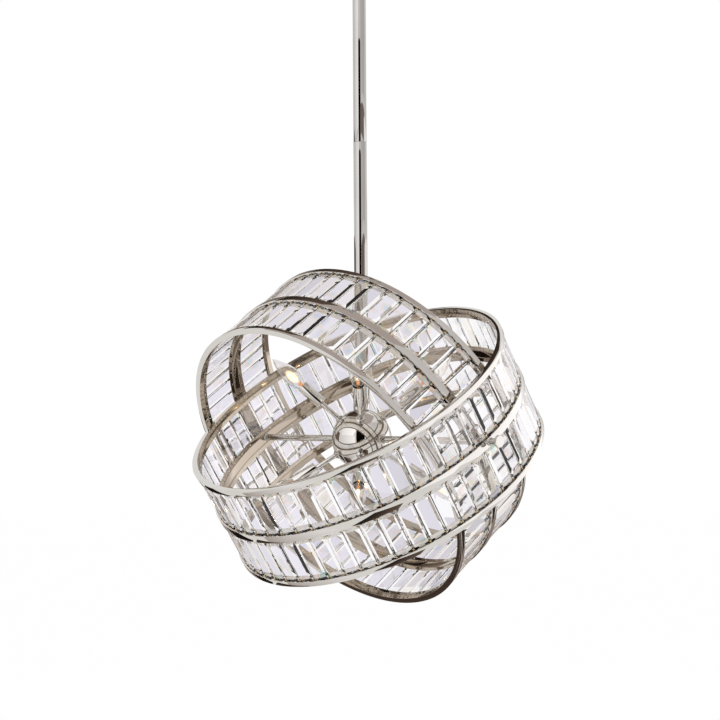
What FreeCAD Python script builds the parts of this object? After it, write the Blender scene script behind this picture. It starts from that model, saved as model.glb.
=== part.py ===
import FreeCAD, Part
import math
import os
import re

import Sketcher

# Orb chandelier: two linked crystal band rings on a bar through a sphere hub,
# hung on a stem from a ceiling canopy. Millimetres, +Z up, origin on the ceiling
# at the canopy's centre. The bar runs along X.

SIZES = {
    # ceiling fixing and canopy
    "strap_length": 112.0,
    "strap_width": 22.0,
    "strap_thickness": 2.5,
    "slot_spacing": 88.9,
    "slot_length": 14.0,
    "slot_width": 5.0,
    "ground_screw_offset": 26.0,
    "ground_screw_radius": 4.0,
    "ground_screw_height": 2.2,
    "nipple_radius": 5.0,
    "nipple_bore": 3.5,
    "locknut_radius": 9.8,
    "locknut_height": 4.0,
    "canopy_radius": 70.0,
    "canopy_depth": 26.0,
    "canopy_corner": 9.0,
    "canopy_wall": 1.2,
    "ring_nut_radius": 17.0,
    "ring_nut_height": 8.0,
    # hang-straight swivel
    "swivel_play": 0.2,
    "yoke_radius": 17.0,
    "yoke_boss_height": 10.0,
    "retainer_radius": 8.5,
    "retainer_height": 5.0,
    "ear_radius": 9.0,
    "ear_thickness": 4.5,
    "ear_gap": 19.0,
    "lug_side_play": 0.2,
    "lug_top_clearance": 2.0,
    "lug_neck": 12.0,
    "lug_shoulder_radius": 14.0,
    "lug_shoulder_height": 6.0,
    "plug_length": 20.0,
    "knuckle_pin_radius": 4.0,
    "knuckle_head_radius": 6.0,
    "knuckle_head_height": 2.0,
    # stem
    "stem_radius": 12.7,
    "stem_wall": 1.5,
    "stem_upper_length": 305.0,
    "stem_lower_length": 508.0,
    "coupler_length": 60.0,
    "coupler_wall": 1.6,
    "stem_foot_gap": 3.0,
    "collar_radius": 15.5,
    "collar_height": 19.0,
    "neck_radius": 8.0,
    "neck_bore": 5.0,
    # hub
    "hub_radius": 57.0,
    "hub_wall": 1.6,
    "core_radius": 24.0,
    "core_socket_depth": 10.0,
    "finial_radius": 9.0,
    "finial_height": 13.0,
    "finial_stud_radius": 5.0,
    # bar and pivots
    "bar_radius": 6.35,
    "bar_wall": 1.5,
    "rod_radius": 4.0,
    "bar_collar_radius": 9.5,
    "bar_collar_height": 3.5,
    "washer_radius": 8.0,
    "washer_thickness": 1.0,
    "pivot_play": 0.1,
    "knob_length": 22.0,
    "knob_neck_radius": 5.0,
    "knob_disc_radius": 11.3,
    "knob_disc_thickness": 5.0,
    "knob_thread_depth": 12.0,
    # candle arms
    "upper_arm_angle": 42.0,
    "lower_arm_angle": 32.0,
    "arm_radius": 4.5,
    "arm_wall": 1.0,
    "arm_collar_radius": 8.5,
    "arm_collar_height": 4.0,
    "sleeve_standoff": 46.0,
    "sleeve_length": 49.0,
    "sleeve_radius": 11.5,
    "sleeve_wall": 0.8,
    "sleeve_floor": 2.0,
    "arm_thread": 6.0,
    "socket_radius": 10.0,
    "socket_recess": 14.0,
    "lamp_cap_radius": 6.0,
    "lamp_cap_length": 20.0,
    "bulb_radius": 16.0,
    "bulb_length": 77.0,
    "bulb_widest": 27.0,
    "bulb_neck_radius": 6.3,
    "bulb_wall": 0.8,
    # crystal band rings
    "ring_radius": 317.5,
    "rim_depth": 11.0,
    "flange_thickness": 1.8,
    "band_half_width": 103.6,
    "edge_rim_width": 10.0,
    "edge_flange_width": 19.0,
    "middle_rim_width": 14.5,
    "middle_flange_width": 35.0,
    "rim_round": 0.8,
    "ring_offset": 16.0,
    "ring_a_tilt": 33.0,
    "ring_b_tilt": 124.6,
    "crystal_gap": 0.6,
    "crystal_end_play": 0.3,
    "crystal_seat": 0.2,
    "crystal_depth": 6.0,
    "crystal_edge_depth": 2.4,
    "crystal_face_width": 16.5,
    "crystal_tip": 10.0,
    "crystal_tip_setback": 1.5,
    "strut_width": 3.0,
    # eased edges and fits
    "edge_chamfer": 1.0,
    "fine_chamfer": 0.5,
    "thread_play": 0.05,
    "tube_play": 0.1,
    "hole_play": 0.25,
}

CRYSTALS_PER_ROW = 60
STRUTS_PER_ROW = 8
FIRST_STRUT = 2
BULB_FLANK_REACH = 0.62
BULB_FLANK_RISE = 0.6
BULB_TIP_SLOPE = 0.25
ARM_AZIMUTHS = (45.0, 135.0, 225.0, 315.0)

X_AXIS = FreeCAD.Vector(1, 0, 0)
Y_AXIS = FreeCAD.Vector(0, 1, 0)
Z_AXIS = FreeCAD.Vector(0, 0, 1)
CENTRE = FreeCAD.Vector(0, 0, 0)
SAME = 0.01

doc = FreeCAD.newDocument("orb_chandelier")
dim = doc.addObject("Spreadsheet::Sheet", "dim")
for row, (alias, amount) in enumerate(SIZES.items(), start=1):
    dim.set("A%d" % row, alias.replace("_", " "))
    dim.set("B%d" % row, str(amount))
    dim.setAlias("B%d" % row, alias)
doc.recompute()

sub_parts = []


def cells(text):
    """Point every size name in an expression at its cell in the sheet."""
    return re.sub(r"[a-z][a-z_]+", lambda word: "dim." + word.group(), text)


def size(text):
    """The number that an expression of size names gives, in millimetres or degrees."""
    return float(dim.evalExpression(cells(text)))


def keep(item):
    """List an object as a finished sub-part of the chandelier."""
    sub_parts.append(item)
    return item


def at(base, direction=Z_AXIS):
    """A placement whose own Z axis points along a direction."""
    return FreeCAD.Placement(base, FreeCAD.Rotation(Z_AXIS, direction))


def height(amount):
    return FreeCAD.Vector(0, 0, amount)


# ---------------------------------------------------------------- feature helpers


def origin_plane(body, role):
    return next(item for item in body.Origin.OriginFeatures if item.Role == role)


def plane_sketch(body, name, role):
    sketch = body.newObject("Sketcher::SketchObject", name)
    sketch.AttachmentSupport = (origin_plane(body, role), "")
    sketch.MapMode = "FlatFace"
    return sketch


def pin_corner(sketch, kind, line, text):
    """Tie one coordinate of a line's start point to an expression."""
    index = sketch.addConstraint(Sketcher.Constraint(kind, -1, 1, line, 1, size(text)))
    sketch.setExpression("Constraints[%d]" % index, cells(text))


def closed_outline(sketch, corners):
    """A closed outline of straight lines through corners given as two expressions each."""
    points = [FreeCAD.Vector(size(across), size(along), 0) for across, along in corners]
    for line, point in enumerate(points):
        sketch.addGeometry(Part.LineSegment(point, points[(line + 1) % len(points)]))
    for line in range(len(points)):
        following = (line + 1) % len(points)
        sketch.addConstraint(Sketcher.Constraint("Coincident", line, 2, following, 1))
    for line, (across, along) in enumerate(corners):
        pin_corner(sketch, "DistanceX", line, across)
        pin_corner(sketch, "DistanceY", line, along)


def turned(name, corners, placement):
    """A body turned about its own Z axis from an outline of (radius, height) corners."""
    body = doc.addObject("PartDesign::Body", name)
    sketch = plane_sketch(body, name + "_profile", "XZ_Plane")
    closed_outline(sketch, corners)
    turn = body.newObject("PartDesign::Revolution", name + "_turn")
    turn.Profile = sketch
    turn.ReferenceAxis = (sketch, ["V_Axis"])
    turn.Angle = 360
    body.Placement = placement
    doc.recompute()
    return body


def tube_outline(inner, outer, low, high):
    return [(inner, low), (outer, low), (outer, high), (inner, high)]


def circle_sketch(body, name, role, radius, across="0", along="0"):
    """A sketch with one circle, its centre and radius tied to expressions."""
    sketch = plane_sketch(body, name, role)
    centre = FreeCAD.Vector(size(across), size(along), 0)
    sketch.addGeometry(Part.Circle(centre, Z_AXIS, size(radius)))
    for kind, text in (("DistanceX", across), ("DistanceY", along)):
        if text == "0":
            continue
        index = sketch.addConstraint(Sketcher.Constraint(kind, -1, 1, 0, 3, size(text)))
        sketch.setExpression("Constraints[%d]" % index, cells(text))
    if across == "0" and along == "0":
        sketch.addConstraint(Sketcher.Constraint("Coincident", 0, 3, -1, 1))
    index = sketch.addConstraint(Sketcher.Constraint("Radius", 0, size(radius)))
    sketch.setExpression("Constraints[%d]" % index, cells(radius))
    return sketch


def through_hole(body, name, sketch):
    """Pocket a sketch right through a body, both ways, and check that it cut."""
    before = body.Shape.Volume
    pocket = body.newObject("PartDesign::Pocket", name)
    pocket.Profile = sketch
    pocket.Type = "ThroughAll"
    pocket.SideType = "Symmetric"
    doc.recompute()
    if not body.Shape.Volume < before:
        raise ValueError(name + " cuts nothing")
    return pocket


def eased(body, name, radius, edge_radius, level=None):
    """Fillet a body's round edges of one radius, only those at one level if it is given."""
    base = body.Tip
    edges = [
        "Edge%d" % index for index, edge in enumerate(base.Shape.Edges, start=1)
        if isinstance(edge.Curve, Part.Circle) and abs(edge.Curve.Radius - size(edge_radius)) < SAME
        and (level is None or abs(edge.Curve.Center.z - size(level)) < SAME)
    ]
    ease = body.newObject("PartDesign::Fillet", name)
    ease.Base = (base, edges)
    ease.setExpression("Radius", cells(radius))
    doc.recompute()


def cylinder(name, radius, length, placement):
    item = doc.addObject("Part::Cylinder", name)
    item.setExpression("Radius", cells(radius))
    item.setExpression("Height", cells(length))
    item.Placement = placement
    return item


def box(name, across, deep, tall, placement):
    item = doc.addObject("Part::Box", name)
    item.setExpression("Length", cells(across))
    item.setExpression("Width", cells(deep))
    item.setExpression("Height", cells(tall))
    item.Placement = placement
    return item


def sphere(name, radius, low_angle, high_angle, centre):
    item = doc.addObject("Part::Sphere", name)
    item.setExpression("Radius", cells(radius))
    item.Angle1 = low_angle
    item.Angle2 = high_angle
    item.Placement.Base = centre
    return item


def fused(name, members):
    item = doc.addObject("Part::MultiFuse", name)
    item.Shapes = members
    return item


def cut(name, base, tools):
    item = doc.addObject("Part::Cut", name)
    item.Base = base
    item.Tool = tools[0] if len(tools) == 1 else fused(name + "_tools", tools)
    doc.recompute()
    if not item.Shape.Volume < base.Shape.Volume:
        raise ValueError(name + " cuts nothing")
    return item


def group(name, members):
    """Separate solids of one kind, kept as one sub-part."""
    item = doc.addObject("Part::Compound", name)
    item.Links = members
    return keep(item)


# ---------------------------------------------------------------- heights down the stem

nipple_drop = "canopy_depth + ring_nut_height + yoke_boss_height + 2 * swivel_play + retainer_height"
yoke_top = -size("canopy_depth + ring_nut_height + swivel_play")
yoke_foot = yoke_top - size("yoke_boss_height")
nipple_foot = -size(nipple_drop)
knuckle_height = nipple_foot - size("lug_top_clearance + ear_radius")
stem_top = knuckle_height - size("lug_neck + lug_shoulder_height")
stem_joint = stem_top - size("stem_upper_length")
stem_foot = stem_joint - size("stem_lower_length")
hub_height = stem_foot - size("hub_radius + stem_foot_gap")
HUB = height(hub_height)

# the bores of the hub core that take the neck, the arms and the stud end this far from its centre
core_socket = "core_radius - core_socket_depth"


# ---------------------------------------------------------------- ceiling fixing


def mounting_bar():
    """Steel strap against the ceiling, with a slot for a box screw near each end."""
    body = doc.addObject("PartDesign::Body", "mounting_bar")
    outline = plane_sketch(body, "strap_outline", "XY_Plane")
    reach = ("-strap_length / 2", "strap_length / 2")
    side = ("-strap_width / 2", "strap_width / 2")
    corners = [(reach[0], side[0]), (reach[1], side[0]), (reach[1], side[1]), (reach[0], side[1])]
    closed_outline(outline, corners)
    strap = body.newObject("PartDesign::Pad", "strap")
    strap.Profile = outline
    strap.setExpression("Length", cells("strap_thickness"))
    strap.Reversed = True
    doc.recompute()
    bore = circle_sketch(body, "nipple_bore", "XY_Plane", "nipple_radius + thread_play")
    through_hole(body, "nipple_hole", bore)
    for sign, side_name in (("-", "left"), ("", "right")):
        slot = plane_sketch(body, side_name + "_slot", "XY_Plane")
        slot_outline(slot, sign + "slot_spacing / 2")
        through_hole(body, side_name + "_slot_hole", slot)
    return keep(body)


def slot_outline(sketch, centre):
    """A slot along X: two straight sides and two half-round ends."""
    middle = size(centre)
    half = size("slot_width / 2")
    reach = size("(slot_length - slot_width) / 2")
    corner = [FreeCAD.Vector(middle + x, y, 0) for x, y in
              ((-reach, -half), (reach, -half), (reach, half), (-reach, half))]
    tip_right = FreeCAD.Vector(middle + reach + half, 0, 0)
    tip_left = FreeCAD.Vector(middle - reach - half, 0, 0)
    sketch.addGeometry(Part.LineSegment(corner[0], corner[1]))
    sketch.addGeometry(Part.Arc(corner[1], tip_right, corner[2]))
    sketch.addGeometry(Part.LineSegment(corner[2], corner[3]))
    sketch.addGeometry(Part.Arc(corner[3], tip_left, corner[0]))
    # the line and arc ends meet in turn, and the arcs leave the lines tangentially
    for first, first_end, second, second_end in ((0, 2, 1, 1), (1, 2, 2, 1), (2, 2, 3, 1), (3, 2, 0, 1)):
        sketch.addConstraint(Sketcher.Constraint("Tangent", first, first_end, second, second_end))
    sketch.addConstraint(Sketcher.Constraint("Horizontal", 0))
    for kind, arc, text in (("DistanceX", 1, centre + " + (slot_length - slot_width) / 2"),
                            ("DistanceX", 3, centre + " - (slot_length - slot_width) / 2")):
        index = sketch.addConstraint(Sketcher.Constraint(kind, -1, 1, arc, 3, size(text)))
        sketch.setExpression("Constraints[%d]" % index, cells(text))
    sketch.addConstraint(Sketcher.Constraint("PointOnObject", 1, 3, -1))
    index = sketch.addConstraint(Sketcher.Constraint("Radius", 1, half))
    sketch.setExpression("Constraints[%d]" % index, cells("slot_width / 2"))


def canopy_dome():
    """Spun dome with a rounded foot, open against the ceiling and bored for the nipple."""
    hole = "nipple_radius + hole_play"
    inner = "canopy_radius - canopy_wall"
    floor = "-canopy_depth + canopy_wall"
    corners = [
        (hole, "-canopy_depth"), ("canopy_radius", "-canopy_depth"), ("canopy_radius", "0"),
        (inner, "0"), (inner, floor), (hole, floor),
    ]
    dome = turned("canopy_dome", corners, at(CENTRE))
    eased(dome, "canopy_outer_round", "canopy_corner", "canopy_radius", "-canopy_depth")
    eased(dome, "canopy_inner_round", "canopy_corner - canopy_wall", inner, floor)
    return keep(dome)


def ceiling_fixing():
    mounting_bar()
    screw_foot = -size("strap_thickness + ground_screw_height")
    keep(cylinder("ground_screw", "ground_screw_radius", "ground_screw_height",
                  at(FreeCAD.Vector(size("ground_screw_offset"), 0, screw_foot))))
    keep(turned("canopy_nipple", tube_outline("nipple_bore", "nipple_radius", "-(%s)" % nipple_drop, "0"),
                at(CENTRE)))
    nut = doc.addObject("Part::Prism", "locknut_blank")
    nut.Polygon = 6
    nut.setExpression("Circumradius", cells("locknut_radius"))
    nut.setExpression("Height", cells("locknut_height"))
    nut.Placement = at(height(-size("strap_thickness + locknut_height")))
    bore = cylinder("locknut_bore", "nipple_radius + thread_play", "locknut_height", nut.Placement)
    keep(cut("nipple_locknut", nut, [bore]))
    canopy_dome()
    thread = "nipple_radius + thread_play"
    ring_nut = [
        (thread, "-ring_nut_height"),
        ("ring_nut_radius - edge_chamfer", "-ring_nut_height"),
        ("ring_nut_radius", "-ring_nut_height + edge_chamfer"),
        ("ring_nut_radius", "0"),
        (thread, "0"),
    ]
    keep(turned("canopy_ring_nut", ring_nut, at(height(-size("canopy_depth")))))
    keep(turned("swivel_retainer_nut", tube_outline(thread, "retainer_radius", "0", "retainer_height"),
                at(height(nipple_foot))))


# ---------------------------------------------------------------- hang-straight swivel


def swivel():
    """Yoke that turns on the nipple, its ears carrying the pin that the stem tilts on."""
    pin_place = FreeCAD.Vector(0, 0, knuckle_height)
    boss = cylinder("yoke_boss", "yoke_radius", "yoke_boss_height", at(height(yoke_foot)))
    members = [boss]
    ear_foot = "ear_radius + lug_top_clearance + retainer_height + swivel_play"
    for side, start in (("front", -size("ear_gap / 2 + ear_thickness")), ("rear", size("ear_gap / 2"))):
        corner = FreeCAD.Vector(-size("ear_radius"), start, knuckle_height)
        members.append(box(side + "_ear", "2 * ear_radius", "ear_thickness", ear_foot, at(corner)))
        end = FreeCAD.Vector(0, start, knuckle_height)
        members.append(cylinder(side + "_ear_end", "ear_radius", "ear_thickness", at(end, Y_AXIS)))
    blank = fused("yoke_blank", members)
    bore = cylinder("yoke_bore", "nipple_radius + thread_play", "yoke_boss_height", boss.Placement)
    half_span = "ear_gap / 2 + ear_thickness"
    pin_start = pin_place - FreeCAD.Vector(0, size(half_span), 0)
    pin_bore = cylinder("yoke_pin_bore", "knuckle_pin_radius + thread_play", "2 * (%s)" % half_span,
                        at(pin_start, Y_AXIS))
    keep(cut("swivel_yoke", blank, [bore, pin_bore]))
    seat = half_span + " + swivel_play / 2"
    head = seat + " + knuckle_head_height"
    pin_outline = [
        ("0", "-(%s)" % head), ("knuckle_head_radius", "-(%s)" % head),
        ("knuckle_head_radius", "-(%s)" % seat), ("knuckle_pin_radius", "-(%s)" % seat),
        ("knuckle_pin_radius", seat), ("knuckle_head_radius", seat), ("knuckle_head_radius", head),
        ("0", head),
    ]
    keep(turned("knuckle_pin", pin_outline, at(pin_place, Y_AXIS)))


def knuckle_lug():
    """Lug on the stem's top, between the ears, with a plug inside the upper tube."""
    half_width = "ear_gap / 2 - lug_side_play"
    width = "2 * (%s)" % half_width
    start = FreeCAD.Vector(0, -size(half_width), knuckle_height)
    corner = FreeCAD.Vector(-size("ear_radius"), -size(half_width), knuckle_height - size("lug_neck"))
    members = [
        cylinder("lug_eye", "ear_radius", width, at(start, Y_AXIS)),
        box("lug_neck_block", "2 * ear_radius", width, "lug_neck", at(corner)),
        cylinder("lug_shoulder", "lug_shoulder_radius", "lug_shoulder_height", at(height(stem_top))),
        cylinder("lug_plug", "stem_radius - stem_wall - tube_play", "plug_length",
                 at(height(stem_top - size("plug_length")))),
    ]
    blank = fused("lug_blank", members)
    bore = cylinder("lug_bore", "knuckle_pin_radius + thread_play", width, at(start, Y_AXIS))
    keep(cut("knuckle_lug", blank, [bore]))


# ---------------------------------------------------------------- stem


def stem():
    bore = "stem_radius - stem_wall"
    keep(turned("stem_upper", tube_outline(bore, "stem_radius", "0", "stem_upper_length"),
                at(height(stem_joint))))
    keep(turned("stem_lower", tube_outline(bore, "stem_radius", "0", "stem_lower_length"),
                at(height(stem_foot))))
    coupler = tube_outline(bore + " - tube_play - coupler_wall", bore + " - tube_play",
                           "-coupler_length / 2", "coupler_length / 2")
    keep(turned("stem_coupler", coupler, at(height(stem_joint))))
    foot = "hub_radius + stem_foot_gap"
    plug_top = foot + " + plug_length"
    neck = [
        ("neck_bore", core_socket + " + hole_play"), ("neck_radius", core_socket + " + hole_play"),
        ("neck_radius", foot), (bore + " - tube_play", foot),
        (bore + " - tube_play", plug_top), ("neck_bore", plug_top),
    ]
    keep(turned("stem_neck", neck, at(HUB)))
    socket = "stem_radius + thread_play"
    top = "hub_radius + collar_height"
    collar = [
        ("neck_radius + thread_play", "hub_radius / 2"), ("collar_radius", "hub_radius / 2"),
        ("collar_radius", top + " - edge_chamfer"), ("collar_radius - edge_chamfer", top), (socket, top),
        (socket, foot), ("neck_radius + thread_play", foot),
    ]
    blank = turned("collar_blank", collar, at(HUB))
    ball = sphere("collar_seat", "hub_radius + thread_play", -90, 90, HUB)
    keep(cut("stem_collar", blank, [ball]))


# ---------------------------------------------------------------- hub


def arm_directions():
    """Unit vectors of the candle arms: an upper and a lower arm at each azimuth."""
    for angle in (size("upper_arm_angle"), -size("lower_arm_angle")):
        for azimuth in ARM_AZIMUTHS:
            level = math.cos(math.radians(angle))
            yield FreeCAD.Vector(level * math.cos(math.radians(azimuth)),
                                 level * math.sin(math.radians(azimuth)),
                                 math.sin(math.radians(angle)))


def hub_holes(name, arms, half):
    """Drills that open one half shell: its arms, the bar and the neck or stud."""
    drills = []
    for number, direction in enumerate(arms, start=1):
        start = HUB + direction * size("hub_radius / 2")
        drills.append(cylinder("%s_arm_drill_%d" % (name, number), "arm_radius + hole_play", "hub_radius",
                               at(start, direction)))
    bar_start = HUB - X_AXIS * size("2 * hub_radius")
    drills.append(cylinder(name + "_bar_drill", "bar_radius + hole_play", "4 * hub_radius",
                           at(bar_start, X_AXIS)))
    pole_radius = "neck_radius" if half > 0 else "finial_stud_radius"
    drills.append(cylinder(name + "_pole_drill", pole_radius + " + hole_play", "2 * hub_radius",
                           at(HUB, Z_AXIS * half)))
    return drills


def hub_shell(name, low_angle, high_angle, arms, half):
    outer = sphere(name + "_outside", "hub_radius", low_angle, high_angle, HUB)
    inner = sphere(name + "_inside", "hub_radius - hub_wall", -90, 90, HUB)
    keep(cut(name, outer, [inner] + hub_holes(name, arms, half)))


def hub_core():
    """Ball inside the shells, bored for the arms, the neck, the rod and the finial's stud."""
    ball = sphere("core_ball", "core_radius", -90, 90, HUB)
    drills = []
    for number, direction in enumerate(arm_directions(), start=1):
        drills.append(cylinder("core_arm_drill_%d" % number, "arm_radius + thread_play", "core_radius",
                               at(HUB + direction * size(core_socket), direction)))
    rod_start = HUB - X_AXIS * size("2 * core_radius")
    drills.append(cylinder("core_rod_drill", "rod_radius + thread_play", "4 * core_radius",
                           at(rod_start, X_AXIS)))
    drills.append(cylinder("core_neck_drill", "neck_radius + thread_play", "core_radius",
                           at(HUB + height(size(core_socket)))))
    drills.append(cylinder("core_stud_drill", "finial_stud_radius + thread_play", "core_radius",
                           at(HUB - height(size(core_socket)), -Z_AXIS)))
    keep(cut("hub_core", ball, drills))


def hub():
    arms = list(arm_directions())
    hub_core()
    hub_shell("hub_upper_shell", 0, 90, arms[:4], 1)
    hub_shell("hub_lower_shell", -90, 0, arms[4:], -1)
    knob_top = "hub_radius + thread_play"
    finial = [
        ("0", core_socket + " + hole_play"), ("finial_stud_radius", core_socket + " + hole_play"),
        ("finial_stud_radius", knob_top), ("finial_radius", knob_top),
        ("finial_radius", knob_top + " + finial_height / 2"),
        ("finial_radius / 2", knob_top + " + finial_height"), ("0", knob_top + " + finial_height"),
    ]
    keep(turned("hub_finial", finial, at(HUB, -Z_AXIS)))


# ---------------------------------------------------------------- bar and pivots

inner_face = "sqrt((ring_radius - rim_depth) ^ 2 - washer_radius ^ 2)"


def real_size(text):
    """As size, for an expression that also calls a square root."""
    return float(dim.evalExpression(cells(text).replace("dim.sqrt", "sqrt")))


# stations along the bar, measured out from the hub's centre on either side
near_hoop_inside = real_size(inner_face) - size("ring_offset")
near_hoop_outside = size("ring_radius - ring_offset")
far_hoop_inside = real_size(inner_face) + size("ring_offset")
far_hoop_outside = size("ring_radius + ring_offset")


def side_tube(name, inner, outer, start, end, direction):
    """A tube on the bar's axis between two stations on one side of the hub."""
    solid = doc.addObject("Part::Cylinder", name + "_solid")
    bore = doc.addObject("Part::Cylinder", name + "_bore")
    for item, radius in ((solid, outer), (bore, inner)):
        item.setExpression("Radius", cells(radius))
        item.Height = end - start
        item.Placement = at(HUB + direction * start, direction)
    return cut(name, solid, [bore])


def bar_and_pivots():
    rod_reach = far_hoop_outside + size("pivot_play + washer_thickness + knob_thread_depth")
    rod = doc.addObject("Part::Cylinder", "cross_rod")
    rod.setExpression("Radius", cells("rod_radius"))
    rod.Height = 2 * rod_reach
    rod.Placement = at(HUB - X_AXIS * rod_reach, X_AXIS)
    keep(rod)
    play = size("pivot_play")
    washer = size("washer_thickness")
    rod_hole = "rod_radius + thread_play"
    washers, spacers, collars = [], [], []
    for side, direction in (("left", -X_AXIS), ("right", X_AXIS)):
        tube_start = size("core_radius + thread_play")
        tube_end = near_hoop_inside - play - washer
        keep(side_tube("bar_tube_" + side, "bar_radius - bar_wall", "bar_radius", tube_start, tube_end,
                       direction))
        spacer_start = near_hoop_outside + play + washer
        spacer_end = far_hoop_inside - play - washer
        starts = (tube_end, near_hoop_outside + play, spacer_end, far_hoop_outside + play)
        for number, start in enumerate(starts, start=1):
            washers.append(side_tube("washer_%s_%d" % (side, number), rod_hole, "washer_radius",
                                     start, start + washer, direction))
        spacers.append(side_tube("spacer_" + side, rod_hole, "bar_radius", spacer_start, spacer_end,
                                 direction))
        blank = side_tube("bar_collar_blank_" + side, "bar_radius + thread_play", "bar_collar_radius",
                          size("hub_radius / 2"), size("hub_radius + bar_collar_height"), direction)
        ball = sphere("bar_collar_seat_" + side, "hub_radius + thread_play", -90, 90, HUB)
        collars.append(cut("bar_collar_" + side, blank, [ball]))
        keep(cap_knob(side, direction))
    group("pivot_washers", washers)
    group("hoop_spacers", spacers)
    group("bar_collars", collars)


def cap_knob(side, direction):
    """Cap nut on the rod's end: a tapered neck and a flat round disc."""
    start = far_hoop_outside + size("pivot_play + washer_thickness")
    disc_start = "knob_length - knob_disc_thickness"
    bore = "rod_radius + thread_play"
    corners = [
        (bore, "0"), ("bar_radius", "0"), ("knob_neck_radius", disc_start),
        ("knob_disc_radius - edge_chamfer", disc_start),
        ("knob_disc_radius", disc_start + " + edge_chamfer"),
        ("knob_disc_radius", "knob_length - edge_chamfer"),
        ("knob_disc_radius - edge_chamfer", "knob_length"), ("0", "knob_length"),
        ("0", "knob_thread_depth + hole_play"), (bore, "knob_thread_depth + hole_play"),
    ]
    return turned("cap_knob_" + side, corners, at(HUB + direction * start, direction))


# ---------------------------------------------------------------- candle arms


def bulb_glass(wall):
    """Outline of the flame-shaped glass, drawn in by a wall, from its neck to its tip."""
    neck = size("bulb_neck_radius") - wall
    foot = -size("socket_recess")
    widest = FreeCAD.Vector(size("bulb_radius") - wall, 0, size("bulb_widest"))
    tip = FreeCAD.Vector(0, 0, size("bulb_length") - wall)
    start = FreeCAD.Vector(neck, 0, foot)
    shoulder = FreeCAD.Vector((neck + widest.x) / 2, 0, (foot + widest.z) / 2)
    flank = FreeCAD.Vector(widest.x * BULB_FLANK_REACH, 0, widest.z + (tip.z - widest.z) * BULB_FLANK_RISE)
    side = Part.BSplineCurve()
    side.interpolate([start, shoulder, widest, flank, tip],
                     InitialTangent=Z_AXIS, FinalTangent=FreeCAD.Vector(-1, 0, -BULB_TIP_SLOPE))
    axis = Part.LineSegment(tip, FreeCAD.Vector(0, 0, foot))
    base = Part.LineSegment(FreeCAD.Vector(0, 0, foot), start)
    outline = Part.Wire([side.toShape(), axis.toShape(), base.toShape()])
    return Part.Face(outline).revolve(CENTRE, Z_AXIS, 360)


def candle_arms():
    glass = bulb_glass(0.0).cut(bulb_glass(size("bulb_wall")))
    arms, collars, sockets, caps = [], [], [], []
    sleeve_start = "hub_radius + sleeve_standoff"
    mouth = sleeve_start + " + sleeve_length"
    socket_foot = sleeve_start + " + sleeve_floor"
    cap_top = mouth + " - socket_recess"
    for number, direction in enumerate(arm_directions(), start=1):
        place = at(HUB, direction)
        tube = tube_outline("arm_radius - arm_wall", "arm_radius", core_socket + " + thread_play",
                            socket_foot + " + arm_thread")
        arms.append(turned("arm_tube_%d" % number, tube, place))
        blank = [
            ("arm_radius + thread_play", "hub_radius / 2"), ("arm_collar_radius", "hub_radius / 2"),
            ("arm_collar_radius", "hub_radius"),
            ("arm_radius + edge_chamfer", "hub_radius + arm_collar_height"),
            ("arm_radius + thread_play", "hub_radius + arm_collar_height"),
        ]
        collar = turned("arm_collar_blank_%d" % number, blank, place)
        seat = sphere("arm_collar_seat_%d" % number, "hub_radius + thread_play", -90, 90, HUB)
        collars.append(cut("arm_collar_%d" % number, collar, [seat]))
        sleeve = [
            ("arm_radius + thread_play", sleeve_start), ("sleeve_radius - fine_chamfer", sleeve_start),
            ("sleeve_radius", sleeve_start + " + fine_chamfer"), ("sleeve_radius", mouth),
            ("sleeve_radius - sleeve_wall", mouth), ("sleeve_radius - sleeve_wall", socket_foot),
            ("arm_radius + thread_play", socket_foot),
        ]
        keep(turned("candle_sleeve_%d" % number, sleeve, place))
        floor = socket_foot + " + arm_thread + hole_play"
        socket = [
            ("0", floor), ("arm_radius + thread_play", floor), ("arm_radius + thread_play", socket_foot),
            ("socket_radius", socket_foot), ("socket_radius", cap_top),
            ("lamp_cap_radius + thread_play", cap_top),
            ("lamp_cap_radius + thread_play", cap_top + " - lamp_cap_length - hole_play"),
            ("0", cap_top + " - lamp_cap_length - hole_play"),
        ]
        sockets.append(turned("lamp_socket_%d" % number, socket, place))
        cap = [
            ("0", cap_top + " - lamp_cap_length"), ("lamp_cap_radius / 2", cap_top + " - lamp_cap_length"),
            ("lamp_cap_radius", cap_top + " - lamp_cap_length + lamp_cap_radius / 2"),
            ("lamp_cap_radius", cap_top), ("0", cap_top),
        ]
        caps.append(turned("bulb_cap_%d" % number, cap, place))
        bulb = doc.addObject("Part::Feature", "bulb_%d" % number)
        bulb.Shape = glass
        bulb.Placement = at(HUB + direction * size(mouth), direction)
        keep(bulb)
    group("arm_tubes", arms)
    group("arm_collars", collars)
    group("lamp_sockets", sockets)
    group("bulb_caps", caps)


# ---------------------------------------------------------------- crystal band rings


def hoop(name, corners, placement, bored):
    """A hoop turned about the ring's axis, its outer edges eased and its poles bored."""
    body = turned(name, corners, placement)
    eased(body, name + "_ease", "rim_round", "ring_radius")
    if bored:
        bore = circle_sketch(body, name + "_bore", "YZ_Plane", "rod_radius + thread_play")
        through_hole(body, name + "_pivot_holes", bore)
    return keep(body)


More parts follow.
